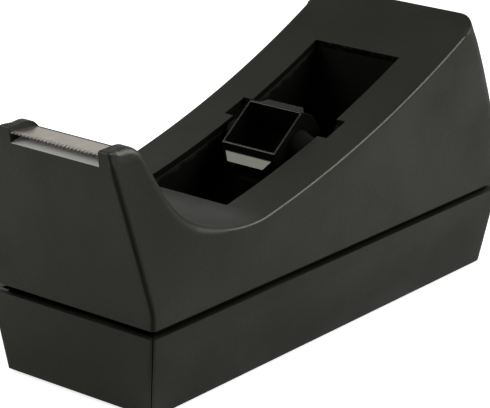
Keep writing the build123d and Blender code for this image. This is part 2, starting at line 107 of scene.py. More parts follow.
def fill(border, net_step):
    """Triangles inside a closed line of (y, z) points, with inner points on a square net.

    A net point is inside when a ray from it crosses the line an odd number of times.
    """
    low, high = border.min(0), border.max(0)
    net = np.stack(np.meshgrid(*(np.arange(a, b, net_step) for a, b in zip(low, high))), -1).reshape(-1, 2)
    a, b = border[None], np.roll(border, -1, 0)[None]
    y, z = net[:, None, 0], net[:, None, 1]
    spans = (a[..., 1] > z) != (b[..., 1] > z)
    rise = np.where(b[..., 1] == a[..., 1], 1, b[..., 1] - a[..., 1])
    crossed = spans & (y < a[..., 0] + (b[..., 0] - a[..., 0]) * (z - a[..., 1]) / rise)
    away = np.linalg.norm(net[:, None] - a, axis=-1).min(1) > 0.6 * net_step
    net = net[(crossed.sum(1) % 2 == 1) & away]
    points = [Vector(p) for p in np.concatenate([border, net])]
    points, _, faces, *_ = delaunay_2d_cdt(points, [], [list(range(len(border)))], 1, 1e-5)
    return np.array([tuple(p) for p in points]), [list(f) for f in faces]


def stack(x, yz):
    """Points with one x (a number or an array) and a list of (y, z)."""
    yz = np.asarray(yz, float)
    return np.concatenate([np.broadcast_to(x, yz.shape[:-1])[..., None], yz], -1)


def spread(x, yz):
    """Rows of points: row i holds every x[i, j] at the (y, z) of row i."""
    return stack(x, np.repeat(yz[:, None], x.shape[1], 1))


print("a grid of 3 by 4 points has", len(grid(np.zeros((3, 4, 3)))[1]), "faces")

# %% [markdown]
# A cubic spline gives the curves that a mould maker would draw with a flexible ruler, and an arc over
# three points gives the long even sweeps. Both come out as lines of points, which can be spaced evenly
# afterwards.

# %% Curves
def smooth_curve(points, first, last, count):
    """Cubic spline through the points that leaves along `first` and arrives along `last`.

    The parameter is the length of the chords. The slopes m solve the usual three-term equations
    for a curve whose bending doesn't jump at the inner points.
    """
    p = np.array(points, float)
    h = np.linalg.norm(np.diff(p, axis=0), axis=1)
    n = len(p)
    rule, side = np.eye(n), np.zeros((n, 2))
    side[0] = np.array(first) / np.linalg.norm(first)
    side[-1] = np.array(last) / np.linalg.norm(last)
    for i in range(1, n - 1):
        rule[i, i - 1:i + 2] = h[i], 2 * (h[i - 1] + h[i]), h[i - 1]
        side[i] = 3 * (h[i] * (p[i] - p[i - 1]) / h[i - 1] + h[i - 1] * (p[i + 1] - p[i]) / h[i])
    m = np.linalg.solve(rule, side)
    start = np.concatenate([[0], np.cumsum(h)])
    t = np.linspace(0, start[-1], count)
    k = np.clip(np.searchsorted(start, t, side="right") - 1, 0, n - 2)
    u = ((t - start[k]) / h[k])[:, None]
    span = h[k][:, None]
    return ((1 + 2 * u) * (1 - u) ** 2 * p[k] + u * (1 - u) ** 2 * span * m[k]
            + u * u * (3 - 2 * u) * p[k + 1] + u * u * (u - 1) * span * m[k + 1])


def arc_through(a, b, c, count):
    """Circular arc from a over b to c: the centre is where the two bisectors meet."""
    a, b, c = (np.array(v, float) for v in (a, b, c))
    rule = 2 * np.array([b - a, c - a])
    centre = np.linalg.solve(rule, [b @ b - a @ a, c @ c - a @ a])
    radius = np.linalg.norm(a - centre)
    start, mid, end = (math.atan2(*(v - centre)[::-1]) for v in (a, b, c))
    mid = start + (mid - start + math.pi) % (2 * math.pi) - math.pi
    end = mid + (end - mid + math.pi) % (2 * math.pi) - math.pi
    angle = np.linspace(start, end, count)
    return centre + radius * np.stack([np.cos(angle), np.sin(angle)], -1)


def resample(line, count):
    """The same line with points at equal distances along it."""
    s = np.concatenate([[0], np.cumsum(np.linalg.norm(np.diff(line, axis=0), axis=1))])
    t = np.linspace(0, s[-1], count)
    return np.stack([np.interp(t, s, line[:, k]) for k in range(line.shape[1])], -1)


quarter = arc_through((1, 0), (math.cos(0.8), math.sin(0.8)), (0, 1), 200)
print("a quarter circle measures %.4f" % np.linalg.norm(np.diff(quarter, axis=0), axis=1).sum())

# %% [markdown]
# A piece is one mesh: its parts are joined, points that coincide are welded and the faces are turned
# outwards. Solidify gives it a wall and Bevel the small radius that every moulded edge has. The piece
# then rides on one body of the CAD model, so it moves with that body's joint.

# %% Mesh pieces
weld_distance, thinnest_edge = 4e-6, 2e-6


def read_rows(elements, field):
    """One vector for each vertex or face of a mesh, as rows of an array."""
    values = np.empty(len(elements) * 3)
    elements.foreach_get(field, values)
    return values.reshape(-1, 3)


def add_object(name, data):
    """A new object at the origin, linked into the scene."""
    thing = bpy.data.objects.new(name, data)
    bpy.context.scene.collection.objects.link(thing)
    return thing


def make_piece(name, parts, finish, body, nodes=(), wall=0.0, bevel=0.0, outward=1,
               flat=False):
    """One welded mesh from (points, faces) parts, placed on its body, with its material.

    outward is +1 where faces point away from the piece's middle and -1 for a hollow seen from inside.
    """
    points, faces, base = [], [], 0
    for part_points, part_faces in parts:
        points.append(np.asarray(part_points, float))
        faces += [[base + k for k in face] for face in part_faces]
        base += len(part_points)
    points = np.concatenate(points) * MM
    mesh = bpy.data.meshes.new(name)
    mesh.from_pydata(points.tolist(), [], faces)
    bm = bmesh.new()
    bm.from_mesh(mesh)
    bmesh.ops.remove_doubles(bm, verts=bm.verts, dist=weld_distance)
    bmesh.ops.dissolve_degenerate(bm, edges=bm.edges, dist=thinnest_edge)
    bmesh.ops.recalc_face_normals(bm, faces=bm.faces)
    middle = sum((v.co for v in bm.verts), Vector()) / len(bm.verts)
    flow = sum(f.normal.dot(f.calc_center_median() - middle) * f.calc_area() for f in bm.faces)
    if flow * outward < 0:
        bmesh.ops.reverse_faces(bm, faces=bm.faces)
    for face in bm.faces:
        face.smooth = not flat
    bm.to_mesh(mesh)
    bm.free()
    piece = add_object(name, mesh)
    mesh.materials.append(finish)
    if wall:
        thick = piece.modifiers.new("wall", "SOLIDIFY")
        thick.thickness, thick.offset = wall * MM, -1
    if bevel:
        add_bevel(piece, bevel)
    if nodes:
        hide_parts(*nodes)
    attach(piece, body)
    print(name, len(mesh.polygons), "faces")
    return piece


def add_bevel(piece, width):
    """Rounds every edge sharper than 38 degrees, as a mould's polished edges are."""
    soft = piece.modifiers.new("edge", "BEVEL")
    soft.width, soft.segments = width * MM, 2
    soft.limit_method, soft.angle_limit = "ANGLE", math.radians(38)
    soft.use_clamp_overlap = False
    soft.harden_normals = True


print("points closer than %.3f mm are welded" % (weld_distance / MM))

# %% [markdown]
# ## Moulded plastic
#
# The real surface is a fine spark-eroded grain: tiny pits about half a millimetre across that
# scatter the light, with a faint broad unevenness in tone. A noise pattern at two scales gives both.
# The same pattern is used on every moulding, so it is a node group with named inputs; the shader
# itself stays in each material.

# %% Grain group
def node_group(name, inputs, outputs):
    """An empty shader group with its sockets; inputs are (name, type, value)."""
    group = bpy.data.node_groups.new(name, "ShaderNodeTree")
    for label, kind, value in inputs:
        socket = group.interface.new_socket(label, in_out="INPUT", socket_type=kind)
        socket.default_value = value
    for label, kind in outputs:
        group.interface.new_socket(label, in_out="OUTPUT", socket_type=kind)
    return group, group.nodes.new("NodeGroupInput"), group.nodes.new("NodeGroupOutput")


def noise(group, scale, detail, rough=0.5):
    """Noise on object coordinates; scale is in waves per metre."""
    where = group.nodes.new("ShaderNodeTexCoord")
    pattern = group.nodes.new("ShaderNodeTexNoise")
    pattern.inputs["Scale"].default_value = scale
    pattern.inputs["Detail"].default_value = detail
    pattern.inputs["Roughness"].default_value = rough
    group.links.new(where.outputs["Object"], pattern.inputs["Vector"])
    return pattern.outputs["Fac"]


def remap(group, value, low, high, to_low, to_high):
    """Straight-line change of range, held at both ends."""
    node = group.nodes.new("ShaderNodeMapRange")
    group.links.new(value, node.inputs["Value"])
    for label, given in zip(("From Min", "From Max", "To Min", "To Max"), (low, high, to_low, to_high)):
        if isinstance(given, (int, float)):
            node.inputs[label].default_value = given
        else:
            group.links.new(given, node.inputs[label])
    return node.outputs["Result"]


def mix_colour(group, factor, a, b):
    """Mixes two colours; each may be a value or a socket."""
    node = group.nodes.new("ShaderNodeMix")
    node.data_type = "RGBA"
    for socket, given in ((node.inputs[0], factor), (node.inputs[6], a), (node.inputs[7], b)):
        if isinstance(given, (int, float, tuple)):
            socket.default_value = given
        else:
            group.links.new(given, socket)
    return node.outputs[2]


def arithmetic(group, operation, a, b):
    """One arithmetic step on two values; a is a socket, b a socket or a number."""
    node = group.nodes.new("ShaderNodeMath")
    node.operation = operation
    group.links.new(a, node.inputs[0])
    if isinstance(b, (int, float)):
        node.inputs[1].default_value = b
    else:
        group.links.new(b, node.inputs[1])
    return node.outputs[0]


grain, grain_in, grain_out = node_group(
    "moulded_grain",
    [("Colour", "NodeSocketColor", (0.02, 0.02, 0.018, 1)),
     ("Speckle", "NodeSocketColor", (0.04, 0.04, 0.036, 1)),
     ("Pits", "NodeSocketFloat", 0.5),
     ("Smoothest", "NodeSocketFloat", 0.42),
     ("Roughest", "NodeSocketFloat", 0.6)],
    [("Colour", "NodeSocketColor"), ("Roughness", "NodeSocketFloat"), ("Height", "NodeSocketFloat")])
fine = noise(grain, 2100, 3.0, 0.6)
broad = noise(grain, 55, 3.0)
speck = remap(grain, fine, 0.52, 0.72, 0.0, 1.0)
tone = mix_colour(grain, speck, grain_in.outputs["Colour"], grain_in.outputs["Speckle"])
shade = remap(grain, broad, 0.3, 0.7, 0.9, 1.1)
shade_mix = grain.nodes.new("ShaderNodeVectorMath")
shade_mix.operation = "SCALE"
grain.links.new(tone, shade_mix.inputs[0])
grain.links.new(shade, shade_mix.inputs["Scale"])
grain.links.new(shade_mix.outputs[0], grain_out.inputs["Colour"])
gloss = remap(grain, broad, 0.3, 0.7, grain_in.outputs["Smoothest"], grain_in.outputs["Roughest"])
grain.links.new(gloss, grain_out.inputs["Roughness"])
pits = arithmetic(grain, "MULTIPLY", fine, grain_in.outputs["Pits"])
grain.links.new(pits, grain_out.inputs["Height"])
print("grain group with", len(grain.nodes), "nodes")

# %% [markdown]
# The finishes share one shader set-up. Its gloss is tinted slightly olive, as the photo's greys are.
# The ramp's side edges and the lugs' shoulders carry a mask: there the shell is glossier and its colour is
# lightened, a painted highlight.

# %% Plastics

OLIVE = (1.0, 1.0, 0.84, 1)


def start_material(name):
    """A material with only its Principled shader and its output."""
    material = bpy.data.materials.new(name)
    material.use_nodes = True
    tree = material.node_tree
    shader = tree.nodes["Principled BSDF"]
    return material, tree, shader


def add_bump(tree, shader, height, depth):
    """Tilts the shader's normal by a height pattern; depth is in metres."""
    bump = tree.nodes.new("ShaderNodeBump")
    bump.inputs["Distance"].default_value = depth
    tree.links.new(height, bump.inputs["Height"])
    tree.links.new(bump.outputs["Normal"], shader.inputs["Normal"])


def moulded(name, colour, speckle, pits=0.5, smoothest=0.42, roughest=0.6, depth=0.00012,
            shine=0.5):
    """Grained plastic: colour, gloss and pits all come from the grain group."""
    material, tree, shader = start_material(name)
    look = tree.nodes.new("ShaderNodeGroup")
    look.node_tree = grain
    look.inputs["Colour"].default_value = (*colour, 1)
    look.inputs["Speckle"].default_value = (*speckle, 1)
    look.inputs["Pits"].default_value = pits
    look.inputs["Smoothest"].default_value = smoothest
    look.inputs["Roughest"].default_value = roughest
    add_bump(tree, shader, look.outputs["Height"], depth)
    tree.links.new(look.outputs["Colour"], shader.inputs["Base Color"])
    tree.links.new(look.outputs["Roughness"], shader.inputs["Roughness"])
    shader.inputs["Specular Tint"].default_value = OLIVE
    shader.inputs["Specular IOR Level"].default_value = shine
    return material


shell_plastic = moulded("shell_plastic", (0.0085, 0.0085, 0.0068), (0.015, 0.015, 0.0125))
tree = shell_plastic.node_tree
shader = tree.nodes["Principled BSDF"]
# The shell reads the mask below: where it is set the plastic is glossier and its colour is lightened
# towards (0.045, 0.045, 0.040), a painted highlight.
edge_highlight_node = tree.nodes.new("ShaderNodeAttribute")
edge_highlight_node.attribute_name = "gloss_and_painted_highlight"
plain_gloss = shader.inputs["Roughness"].links[0].from_socket
plain_tone = shader.inputs["Base Color"].links[0].from_socket
edge_gloss = remap(tree, edge_highlight_node.outputs["Fac"], 0, 1, plain_gloss, 0.2)
painted_highlight_tone = mix_colour(tree, edge_highlight_node.outputs["Fac"], plain_tone, (0.045, 0.045, 0.040, 1))
tree.links.new(edge_gloss, shader.inputs["Roughness"])
tree.links.new(painted_highlight_tone, shader.inputs["Base Color"])
base_plastic = moulded("base_plastic", (0.0075, 0.0075, 0.006), (0.013, 0.013, 0.011))
# The well's plastic is a much darker, duller copy of the shell's: its darkness is painted shade, used on
# the tub, the opening's rim and the hub's lower parts.
well_plastic = moulded("well_plastic", (0.0015, 0.0016, 0.0012), (0.0025, 0.0026, 0.002), 0.3,
                       0.6, 0.75, shine=0.12)
hub_plastic = moulded("hub_plastic", (0.004, 0.004, 0.0036), (0.006, 0.006, 0.0055), 0.2, 0.24, 0.32,
                      shine=0.68)
tray_plastic = moulded("tray_plastic", (0.022, 0.022, 0.020), (0.032, 0.032, 0.029), 0.3)
runner_plastic = moulded("runner_plastic", (0.62, 0.62, 0.60), (0.66, 0.66, 0.64), 0.1, 0.28, 0.36)
rest_plastic = moulded("rest_plastic", (0.60, 0.60, 0.60), (0.64, 0.64, 0.64), 0.1, 0.35, 0.45)
foot_rubber = moulded("foot_rubber", (0.008, 0.008, 0.008), (0.014, 0.014, 0.014), 0.6, 0.7, 0.85)
print(len(bpy.data.materials), "materials so far")

# %% [markdown]
# ## Metals
#
# The cutter is punched from bright steel strip and brushed across it, with a paler ground edge. The
# plate, the screws and the cast weights are hidden in use, and parts of them show when the drawer is
# out. Brushing is noise squeezed along one axis, and a casting is coarse noise with more depth.

# %% Metal finishes
def metal(name, colour, smoothest, roughest, squeeze, scale, depth=0.00004, metallic=1.0):
    """Metal whose gloss and height follow noise squeezed by `squeeze`."""
    material, tree, shader = start_material(name)
    where = tree.nodes.new("ShaderNodeTexCoord")
    turn = tree.nodes.new("ShaderNodeMapping")
    turn.inputs["Scale"].default_value = squeeze
    pattern = tree.nodes.new("ShaderNodeTexNoise")
    pattern.inputs["Scale"].default_value = scale
    pattern.inputs["Detail"].default_value = 4
    tree.links.new(where.outputs["Object"], turn.inputs["Vector"])
    tree.links.new(turn.outputs["Vector"], pattern.inputs["Vector"])
    rough = remap(tree, pattern.outputs["Fac"], 0.3, 0.7, smoothest, roughest)
    tree.links.new(rough, shader.inputs["Roughness"])
    dark = tuple(0.8 * c for c in colour)
    tone = mix_colour(tree, pattern.outputs["Fac"], (*dark, 1), (*colour, 1))
    tree.links.new(tone, shader.inputs["Base Color"])
    add_bump(tree, shader, pattern.outputs["Fac"], depth)
    shader.inputs["Metallic"].default_value = metallic
    return material


cutter_steel = metal("cutter_steel", (0.57, 0.53, 0.455), 0.3, 0.45, (1, 0.06, 1), 2500)
ground_edge = metal("ground_edge", (0.86, 0.82, 0.74), 0.3, 0.5, (1, 0.06, 1), 2500)
zinc_plate = metal("zinc_plate", (0.50, 0.51, 0.52), 0.32, 0.48, (0.1, 1, 1), 900)
screw_steel = metal("screw_steel", (0.46, 0.46, 0.46), 0.25, 0.4, (1, 1, 1), 1500)
ballast_iron = metal("ballast_iron", (0.05, 0.05, 0.05), 0.6, 0.8, (1, 1, 1), 700, 0.0003, 0.6)
print(len(bpy.data.materials), "materials with the metals")

# %% [markdown]
# ## Outline of the upper body
#
# Seen from the side the body is one closed line: up the leaning front, over a lug, down a steep
# scoop into the saddle, up the long ramp and down the curved back. It is sampled densely and then
# softened a little with a running average, which rounds its corners as a mould does.

# %% Side outline
valley_y, valley_z = front_y + valley_from_front, seam_z + 15.7
ramp_y, ramp_z = front_y + ramp_from_front, valley_z + 0.3
rear_top = np.array([back_y - 14.9, top_z])
run, rise = rear_top[0] - ramp_y, top_z - ramp_z
chord, sag = math.hypot(run, rise), 3.35
start_angle = math.atan2(rise, run) - 2 * math.atan2(2 * sag, chord)
ramp_mid = (ramp_y + run / 2 + sag * rise / chord, ramp_z + rise / 2 - sag * run / chord)

front_line = resample(np.array([(front_y, seam_z - 3), (front_y, skirt_z)]), 60)
lean_line = resample(np.array([(front_y, skirt_z), (nose_y, lug_z)]), 400)
lug_end, lug_fall = (nose_y + 9.8, cutter_top - 1.3), (0.4, -0.92)
lug_line = smooth_curve([(nose_y, lug_z), (nose_y + 3.4, lug_z + 0.1), (nose_y + 7.2, lug_z - 0.15),
                         lug_end], (1.0, 0.03), lug_fall, 120)
ramp_start = (math.cos(start_angle), math.sin(start_angle))
saddle_line = smooth_curve([lug_end, (nose_y + 13.0, valley_z + 14.1), (nose_y + 17.2, valley_z + 7.4),
                            (valley_y, valley_z), (ramp_y, ramp_z)], lug_fall, ramp_start, 500)
ramp_line = arc_through((ramp_y, ramp_z), ramp_mid, rear_top, 800)
back_line = arc_through(rear_top, (back_y - 6.8, skirt_z + 23.1), (back_y, skirt_z), 400)
foot_line = resample(np.array([(back_y, skirt_z), (back_y, seam_z - 3)]), 60)
rough_line = np.concatenate([front_line, lean_line[1:], lug_line[1:], saddle_line[1:], ramp_line[1:],
                             back_line[1:], foot_line[1:]])
length = np.linalg.norm(np.diff(rough_line, axis=0), axis=1).sum()
outline = resample(rough_line, int(length / 0.1))
reach = 14
bell = np.exp(-0.5 * (np.arange(-reach, reach + 1) / 4.5) ** 2)
bell /= bell.sum()
soft = np.stack([np.convolve(outline[:, k], bell, mode="same") for k in (0, 1)], -1)
soft[:reach], soft[-reach:] = outline[:reach], outline[-reach:]
inside = np.flatnonzero(soft[:, 1] >= seam_z)
outline = soft[inside[0]:inside[-1] + 1]
outline[[0, -1], 1] = seam_z
path = np.concatenate([[0], np.cumsum(np.linalg.norm(np.diff(outline, axis=0), axis=1))])
step = np.gradient(outline, path, axis=0)
step /= np.linalg.norm(step, axis=1)[:, None]
inward = np.stack([step[:, 1], -step[:, 0]], -1)
print("outline %.1f mm long" % path[-1])

# %% [markdown]
# ## Rows of the upper body
#
# A row of points is taken about every 0.8 mm, closer over the lugs. Some rows must lie exactly on
# an edge: the ledge and shelf of the nose window, the ends of the well and the mouths of the slots.
# Along the outline the side edges have a radius that changes: small in front and on the ramp, large
# on the lugs and in the scoop behind them. At the rear the two corners are rounded in plan instead.

# %% Choose the rows
peak = int(np.argmax(np.where(outline[:, 0] < -60, outline[:, 1], 0)))
print("lug top at y %.1f, z %.1f" % tuple(outline[peak]))
hole_front, hole_rear = -28.27, hub_y + well_radius


def path_at(y):
    """Length along the outline where its top reaches y."""
    return np.interp(y, outline[peak + 30:peak + 1500, 0], path[peak + 30:peak + 1500])


def lane_edge(side):
    """Where one edge of the slanted slot reaches the top surface: its y, found by halving."""
    half = lane_half * side
    low, high = hub_y, hub_y + 20
    for _ in range(40):
        y = (low + high) / 2
        z = np.interp(path_at(y), path, outline[:, 1])
        along = (z - hub_z + half * math.sin(slot_lean)) / math.cos(slot_lean)
        reach = hub_y + half * math.cos(slot_lean) + along * math.sin(slot_lean)
        low, high = (low, y) if reach < y else (y, high)
    return y


slot_front, slot_rear = lane_edge(-1), lane_edge(1)
s_ledge = np.interp(ledge_z, outline[:peak, 1], path[:peak])
falling = slice(peak, peak + 250)
s_shelf = np.interp(-shelf_z, -outline[falling, 1], path[falling])
edges = np.array([s_ledge, s_shelf] + [path_at(y) for y in (hole_front, slot_front, slot_rear, hole_rear)])
corner = path_at(rear_top[0] - 2)
rows = np.concatenate([np.arange(s_ledge, s_shelf, 0.4), np.arange(0, path[-1], 0.8),
                       np.arange(corner, corner + 6, 0.3)])
clear = 0.3
rows = rows[np.abs(rows[:, None] - edges).min(1) > clear]
s_top, s_rear = np.interp(lug_z - 0.5, outline[:peak, 1], path[:peak]), path_at(rear_top[0])
turn = np.linspace(0, math.pi / 2, 11)
corner_in = rear_round * (1 - np.cos(turn))
rows = rows[(rows < s_rear - rear_round - clear) | (rows > s_rear + clear)]
rows = np.unique(np.concatenate([rows, edges, s_rear - corner_in, [0, path[-1]]]).round(5))
row_yz = np.stack([np.interp(rows, path, outline[:, k]) for k in (0, 1)], -1)
row_in = np.stack([np.interp(rows, path, inward[:, k]) for k in (0, 1)], -1)
row_in /= np.linalg.norm(row_in, axis=1)[:, None]
radius_table = [(0, 1.2), (s_top - 4, 1.2), (s_top - 1.5, 0.5), (s_top + 1, 0.5), (s_top + 3.5, 1.7),
                (s_shelf, 1.8), (s_shelf + 3, 1.9), (path_at(-57), 2.6), (path_at(-50), 2.8),
                (path_at(-45), 1.8), (path_at(-41), 1.0), (path_at(-36), 0.8), (path_at(-26), 0.7),
                (s_rear - rear_round - 0.6, 0.7), (s_rear - rear_round, 0.0), (path[-1], 0.0)]
row_radius = np.interp(rows, *np.array(radius_table).T)
print(len(rows), "rows; slot mouth from %.2f to %.2f" % (slot_front, slot_rear))

# %% [markdown]
# ## Skin of the upper body
#
# The sides stand upright except at the nose, where they draw in towards the lugs. One function gives
# the body's half width at any place, so that the top, the rounding and the sides all meet.

# %% Width of the body
def half_width(y, z):
    """Half the body's width: full at the skirt and behind the valley, narrowing to the lugs.

    The narrowing is a smooth step along the length times the height above the skirt.
    """
    blend = np.clip((y - nose_y) / (valley_from_front + nose_overhang), 0, 1)
    top_half = lug_half + (half_w - lug_half) * blend * blend * (3 - 2 * blend)
    height = (z - skirt_z) / (lug_z - skirt_z)
    height = 0.5 * (height + np.sqrt(height ** 2 + 0.02 ** 2))
    return half_w - (half_w - top_half) * height


def row_of(s):
    """The row nearest to a length along the outline."""
    return int(np.argmin(np.abs(rows - s)))


print("half width: %.1f at the lugs, %.1f behind" % (half_width(nose_y, lug_z), half_width(back_y, lug_z)))

# %% [markdown]
# Across each row the skin runs flat and then turns down over a quarter circle. At the rear the corner
# is rounded in plan: there the top narrows row by row along a quarter circle, and the back turns
# through the same angle, with a radius that shrinks towards the seam.

# %% Top, rear corner and back
share = np.array([0, (slot_half - well_half) / (half_w - 0.45 - well_half), 0.45, 0.7, 0.88, 1.0])
edge_x = half_width(row_yz[:, 0], row_yz[:, 1]) - row_radius
strip_x = well_half + share * (edge_x[:, None] - well_half)
strip = spread(strip_x, row_yz)
depth = row_radius[:, None] * (1 - np.cos(turn))
round_yz = row_yz[:, None] + depth[..., None] * row_in[:, None]
round_x = half_width(round_yz[..., 0], round_yz[..., 1]) - row_radius[:, None] * (1 - np.sin(turn))
rounding = stack(round_x, round_yz)
right_top = np.concatenate([strip, rounding[:, 1:]], 1)

k0, k1 = row_of(s_rear - rear_round), row_of(s_rear)
corner_x = half_w - rear_round * (1 - np.sin(turn))
tail = spread(well_half + share * (corner_x[::-1, None] - well_half), row_yz[k0:k1 + 1])
fade_length = 8
fade = np.clip((rows[k1:] - s_rear) / fade_length, 0, 1)[:, None, None]
fade = fade * fade * (3 - 2 * fade)
back_round = np.interp(row_yz[k1:, 1], [skirt_z, row_yz[k1, 1]], [rear_round_low, rear_round])[:, None]
back_x = half_w - back_round * (1 - np.sin(turn))
back_in = back_round * (1 - np.cos(turn))
sunk = (1 - fade) * (row_yz[k0:k1 + 1][::-1] - row_yz[k1]) - fade * back_in[..., None] * np.array([1, 0])
upright = stack(back_x, row_yz[k1:, None] + sunk)
back_strip = spread(well_half + share * (back_x[:, :1] - well_half), row_yz[k1:])
right_back = np.concatenate([back_strip, upright[:, 1:]], 1)
right_top = right_top[:k0 + 1]
print("rows and columns: top", right_top.shape[:2], "corner", tail.shape[:2], "back", right_back.shape[:2])

# %% [markdown]
# The nose window is a step in the middle strip: a ledge that rises gently, an upright riser and a
# shelf under the cutter. The well and the slots are cells left out of the grids.

# %% Nose window and openings
a, b = row_of(s_ledge), row_of(s_shelf)
count = b - a + 1
ledge_rows, riser_rows = int(count * 0.4), int(count * 0.6)
place = np.interp(np.arange(count), [0, ledge_rows, riser_rows, count - 1], [0, 1, 2, 3])
ledge_rise = 1.0
window = np.array([row_yz[a], (front_y, ledge_z + ledge_rise), (front_y, shelf_z), row_yz[b]])
mid_yz = row_yz.copy()
mid_yz[a:b + 1] = np.stack([np.interp(place, range(4), window[:, k]) for k in (0, 1)], -1)
mid_x = np.linspace(-well_half, well_half, 13)
middle = spread(np.repeat(mid_x[None], len(rows), 0), mid_yz)

h0, h1 = row_of(path_at(hole_front)), row_of(path_at(hole_rear))
g0, g1 = row_of(path_at(slot_front)), row_of(path_at(slot_rear))
middle_keep = np.ones((len(rows) - 1, len(mid_x) - 1), bool)
middle_keep[h0:h1] = False
top_keep = np.ones((k0, right_top.shape[1] - 1), bool)
top_keep[g0:g1, 0] = False
print("cells left out:", int((~middle_keep).sum() + 2 * (~top_keep).sum()))

# %% [markdown]
# Each long side fills the space between the rounded edge and the seam. Short walls go round the
# openings, the right half is mirrored, and a wall thickness and small edge radii finish the shell.

# %% Sides, rims and the whole shell
rim = np.concatenate([right_top[:, -1], right_back[1:, -1]])
seam_line = np.stack([np.linspace(rim[-1, 1], rim[0, 1], 100), np.full(100, seam_z)], -1)[1:-1]
side_yz, side_faces = fill(np.concatenate([rim[:, 1:], seam_line]), 1.2)
side = stack(half_width(side_yz[:, 0], side_yz[:, 1]), side_yz)


rim_depth = 1.7


def drop(line):
    """A wall straight down from a line of points, as deep as the rim of the opening."""
    return bridge(line, line - np.array([0, 0, rim_depth]), 2)


half_parts = [grid(right_top, top_keep), grid(tail), grid(right_back), (side, side_faces)]
lug_face = stack(well_half, row_yz[a:b + 1])
floor_face = stack(well_half, mid_yz[a:b + 1])
half_parts.append(bridge(lug_face, floor_face, 1))
half_parts += [drop(right_top[h0:g0 + 1, 0]), drop(right_top[g1:h1 + 1, 0]),
               drop(right_top[g0:g1 + 1, 1]), drop(right_top[g0, :2]), drop(right_top[g1, :2])]


def both_sides(half):
    """The parts of the right half and their mirror images on the left."""
    return half + [(points * np.array([-1, 1, 1]), faces) for points, faces in half]


parts = [grid(middle, middle_keep), drop(middle[h0]), drop(middle[h1])] + both_sides(half_parts)
upper_body = make_piece("upper_body", parts, shell_plastic, "base", ["body_shell"],
                        wall=1.5, bevel=0.12)

# %% [markdown]
# The ledge in front of the cutter is pale grey, and the rim of the opening gets the tub's darker plastic,
# a painted shade, so faces are chosen by their place and by how far they look up. Then the ramp's side
# edges and the lugs' shoulders are marked with a mask that paints a highlight on them and makes them
# glossier, and the nose window keeps a thin skin: a full wall would cross itself there.

# %% Finish the upper body
upper_body.data.materials.append(rest_plastic)
upper_body.data.materials.append(well_plastic)
x, y, z = read_rows(upper_body.data.polygons, "center").T / MM
facing_up = np.abs(read_rows(upper_body.data.polygons, "normal")[:, 2])
on_ledge = (np.abs(x) < well_half) & (y < front_y) & (z > ledge_z - 0.02) & (facing_up > 0.8)
in_opening = (np.abs(x) < slot_half + 0.1) & (y > hole_front - 0.1) & (y < hole_rear + 0.1)
on_rim = in_opening & (facing_up < 0.3)
upper_body.data.polygons.foreach_set("material_index", (on_ledge + 2 * on_rim).astype(np.int32))
print("ledge faces", int(on_ledge.sum()), "and rim faces", int(on_rim.sum()))

x, y, z = read_rows(upper_body.data.vertices, "co").T / MM
from_side = half_width(y, z) - np.abs(x)
from_top = 0.9 * (np.interp(path_at(y), path, outline[:, 1]) - z)
full_wall = upper_body.vertex_groups.new(name="full_wall")
full_wall.add(np.flatnonzero((y > lug_rear_y + 2) | (z < ledge_z - 5)).tolist(), 1.0, "REPLACE")
upper_body.modifiers["wall"].vertex_group = "full_wall"
upper_body.modifiers["wall"].thickness_vertex_group = 0.1
# The mask paints a highlight near 1 along both ramp edges and up to 0.6 on the lugs' shoulders; it also
# lowers the roughness there.
gloss_and_painted_highlight = np.clip(1.3 - np.maximum(from_side, from_top) / 0.45, 0, 1)
gloss_and_painted_highlight *= np.clip((y + 46) / 8, 0, 1) * (y < rear_top[0])
shoulder_highlight = np.clip(1.0 - np.maximum(from_side, from_top / 0.9) / 2.4, 0, 0.6) * (y < -58) * (y > -69.5)
gloss_and_painted_highlight = np.maximum(gloss_and_painted_highlight, shoulder_highlight)
mask = upper_body.data.attributes.new("gloss_and_painted_highlight", "FLOAT", "POINT")
mask.data.foreach_set("value", gloss_and_painted_highlight.astype(np.float32))

# %% [markdown]
# ## Tape well
#
# The well is a tub with upright sides and a round floor about the hub's axis, a little wider than a
# full roll. Each side has a slot that leans back and ends in a round seat for the hub's bushing. The
# side is a flat net of triangles between the rim, the slot's line and the tub's profile.

# %% Build the tape well
low_front = math.asin((37.3 - hub_z) / well_radius)
sweep = np.linspace(math.pi - low_front, 2 * math.pi, 90)
floor_line = np.array([hub_y, hub_z]) + well_radius * np.stack([np.cos(sweep), np.sin(sweep)], -1)
rear_wall = np.array([(hub_y + well_radius, hub_z), (hub_y + well_radius, 58.7)])
tub_line = resample(np.concatenate([floor_line, rear_wall[1:]]), 160)
lane = np.array([math.sin(slot_lean), math.cos(slot_lean)])
across = np.array([lane[1], -lane[0]]) * lane_half
seat_turn = np.linspace(0, math.pi, 24)[:, None]
seat = np.array([hub_y, hub_z]) - np.cos(seat_turn) * across - np.sin(seat_turn) * lane_half * lane
under_top = row_yz - np.array([0, rim_depth - 0.1])
slot_line = resample(np.concatenate([under_top[g0:g0 + 1], seat, under_top[g1:g1 + 1]]), 160)
tub_gap = 0.05
tub_x, slot_x = well_half + tub_gap, slot_half + tub_gap
border = np.concatenate([under_top[h0:g0], slot_line, under_top[g1 + 1:h1 + 1], tub_line[::-1]])
wall_yz, wall_faces = fill(border, 1.5)
half_tub = [(stack(tub_x, wall_yz), wall_faces),
            bridge(stack(tub_x, slot_line), stack(slot_x, slot_line), 3),
            bridge(stack(slot_x, slot_line[:80]), stack(slot_x, slot_line[:79:-1]), 6)]
tub_parts = [bridge(stack(-tub_x, tub_line), stack(tub_x, tub_line), 16)] + both_sides(half_tub)
# The tub takes the well's darker plastic, a painted shade.
make_piece("tape_tub", tub_parts, well_plastic, "base", ["tape_well"], wall=1.2, outward=-1)

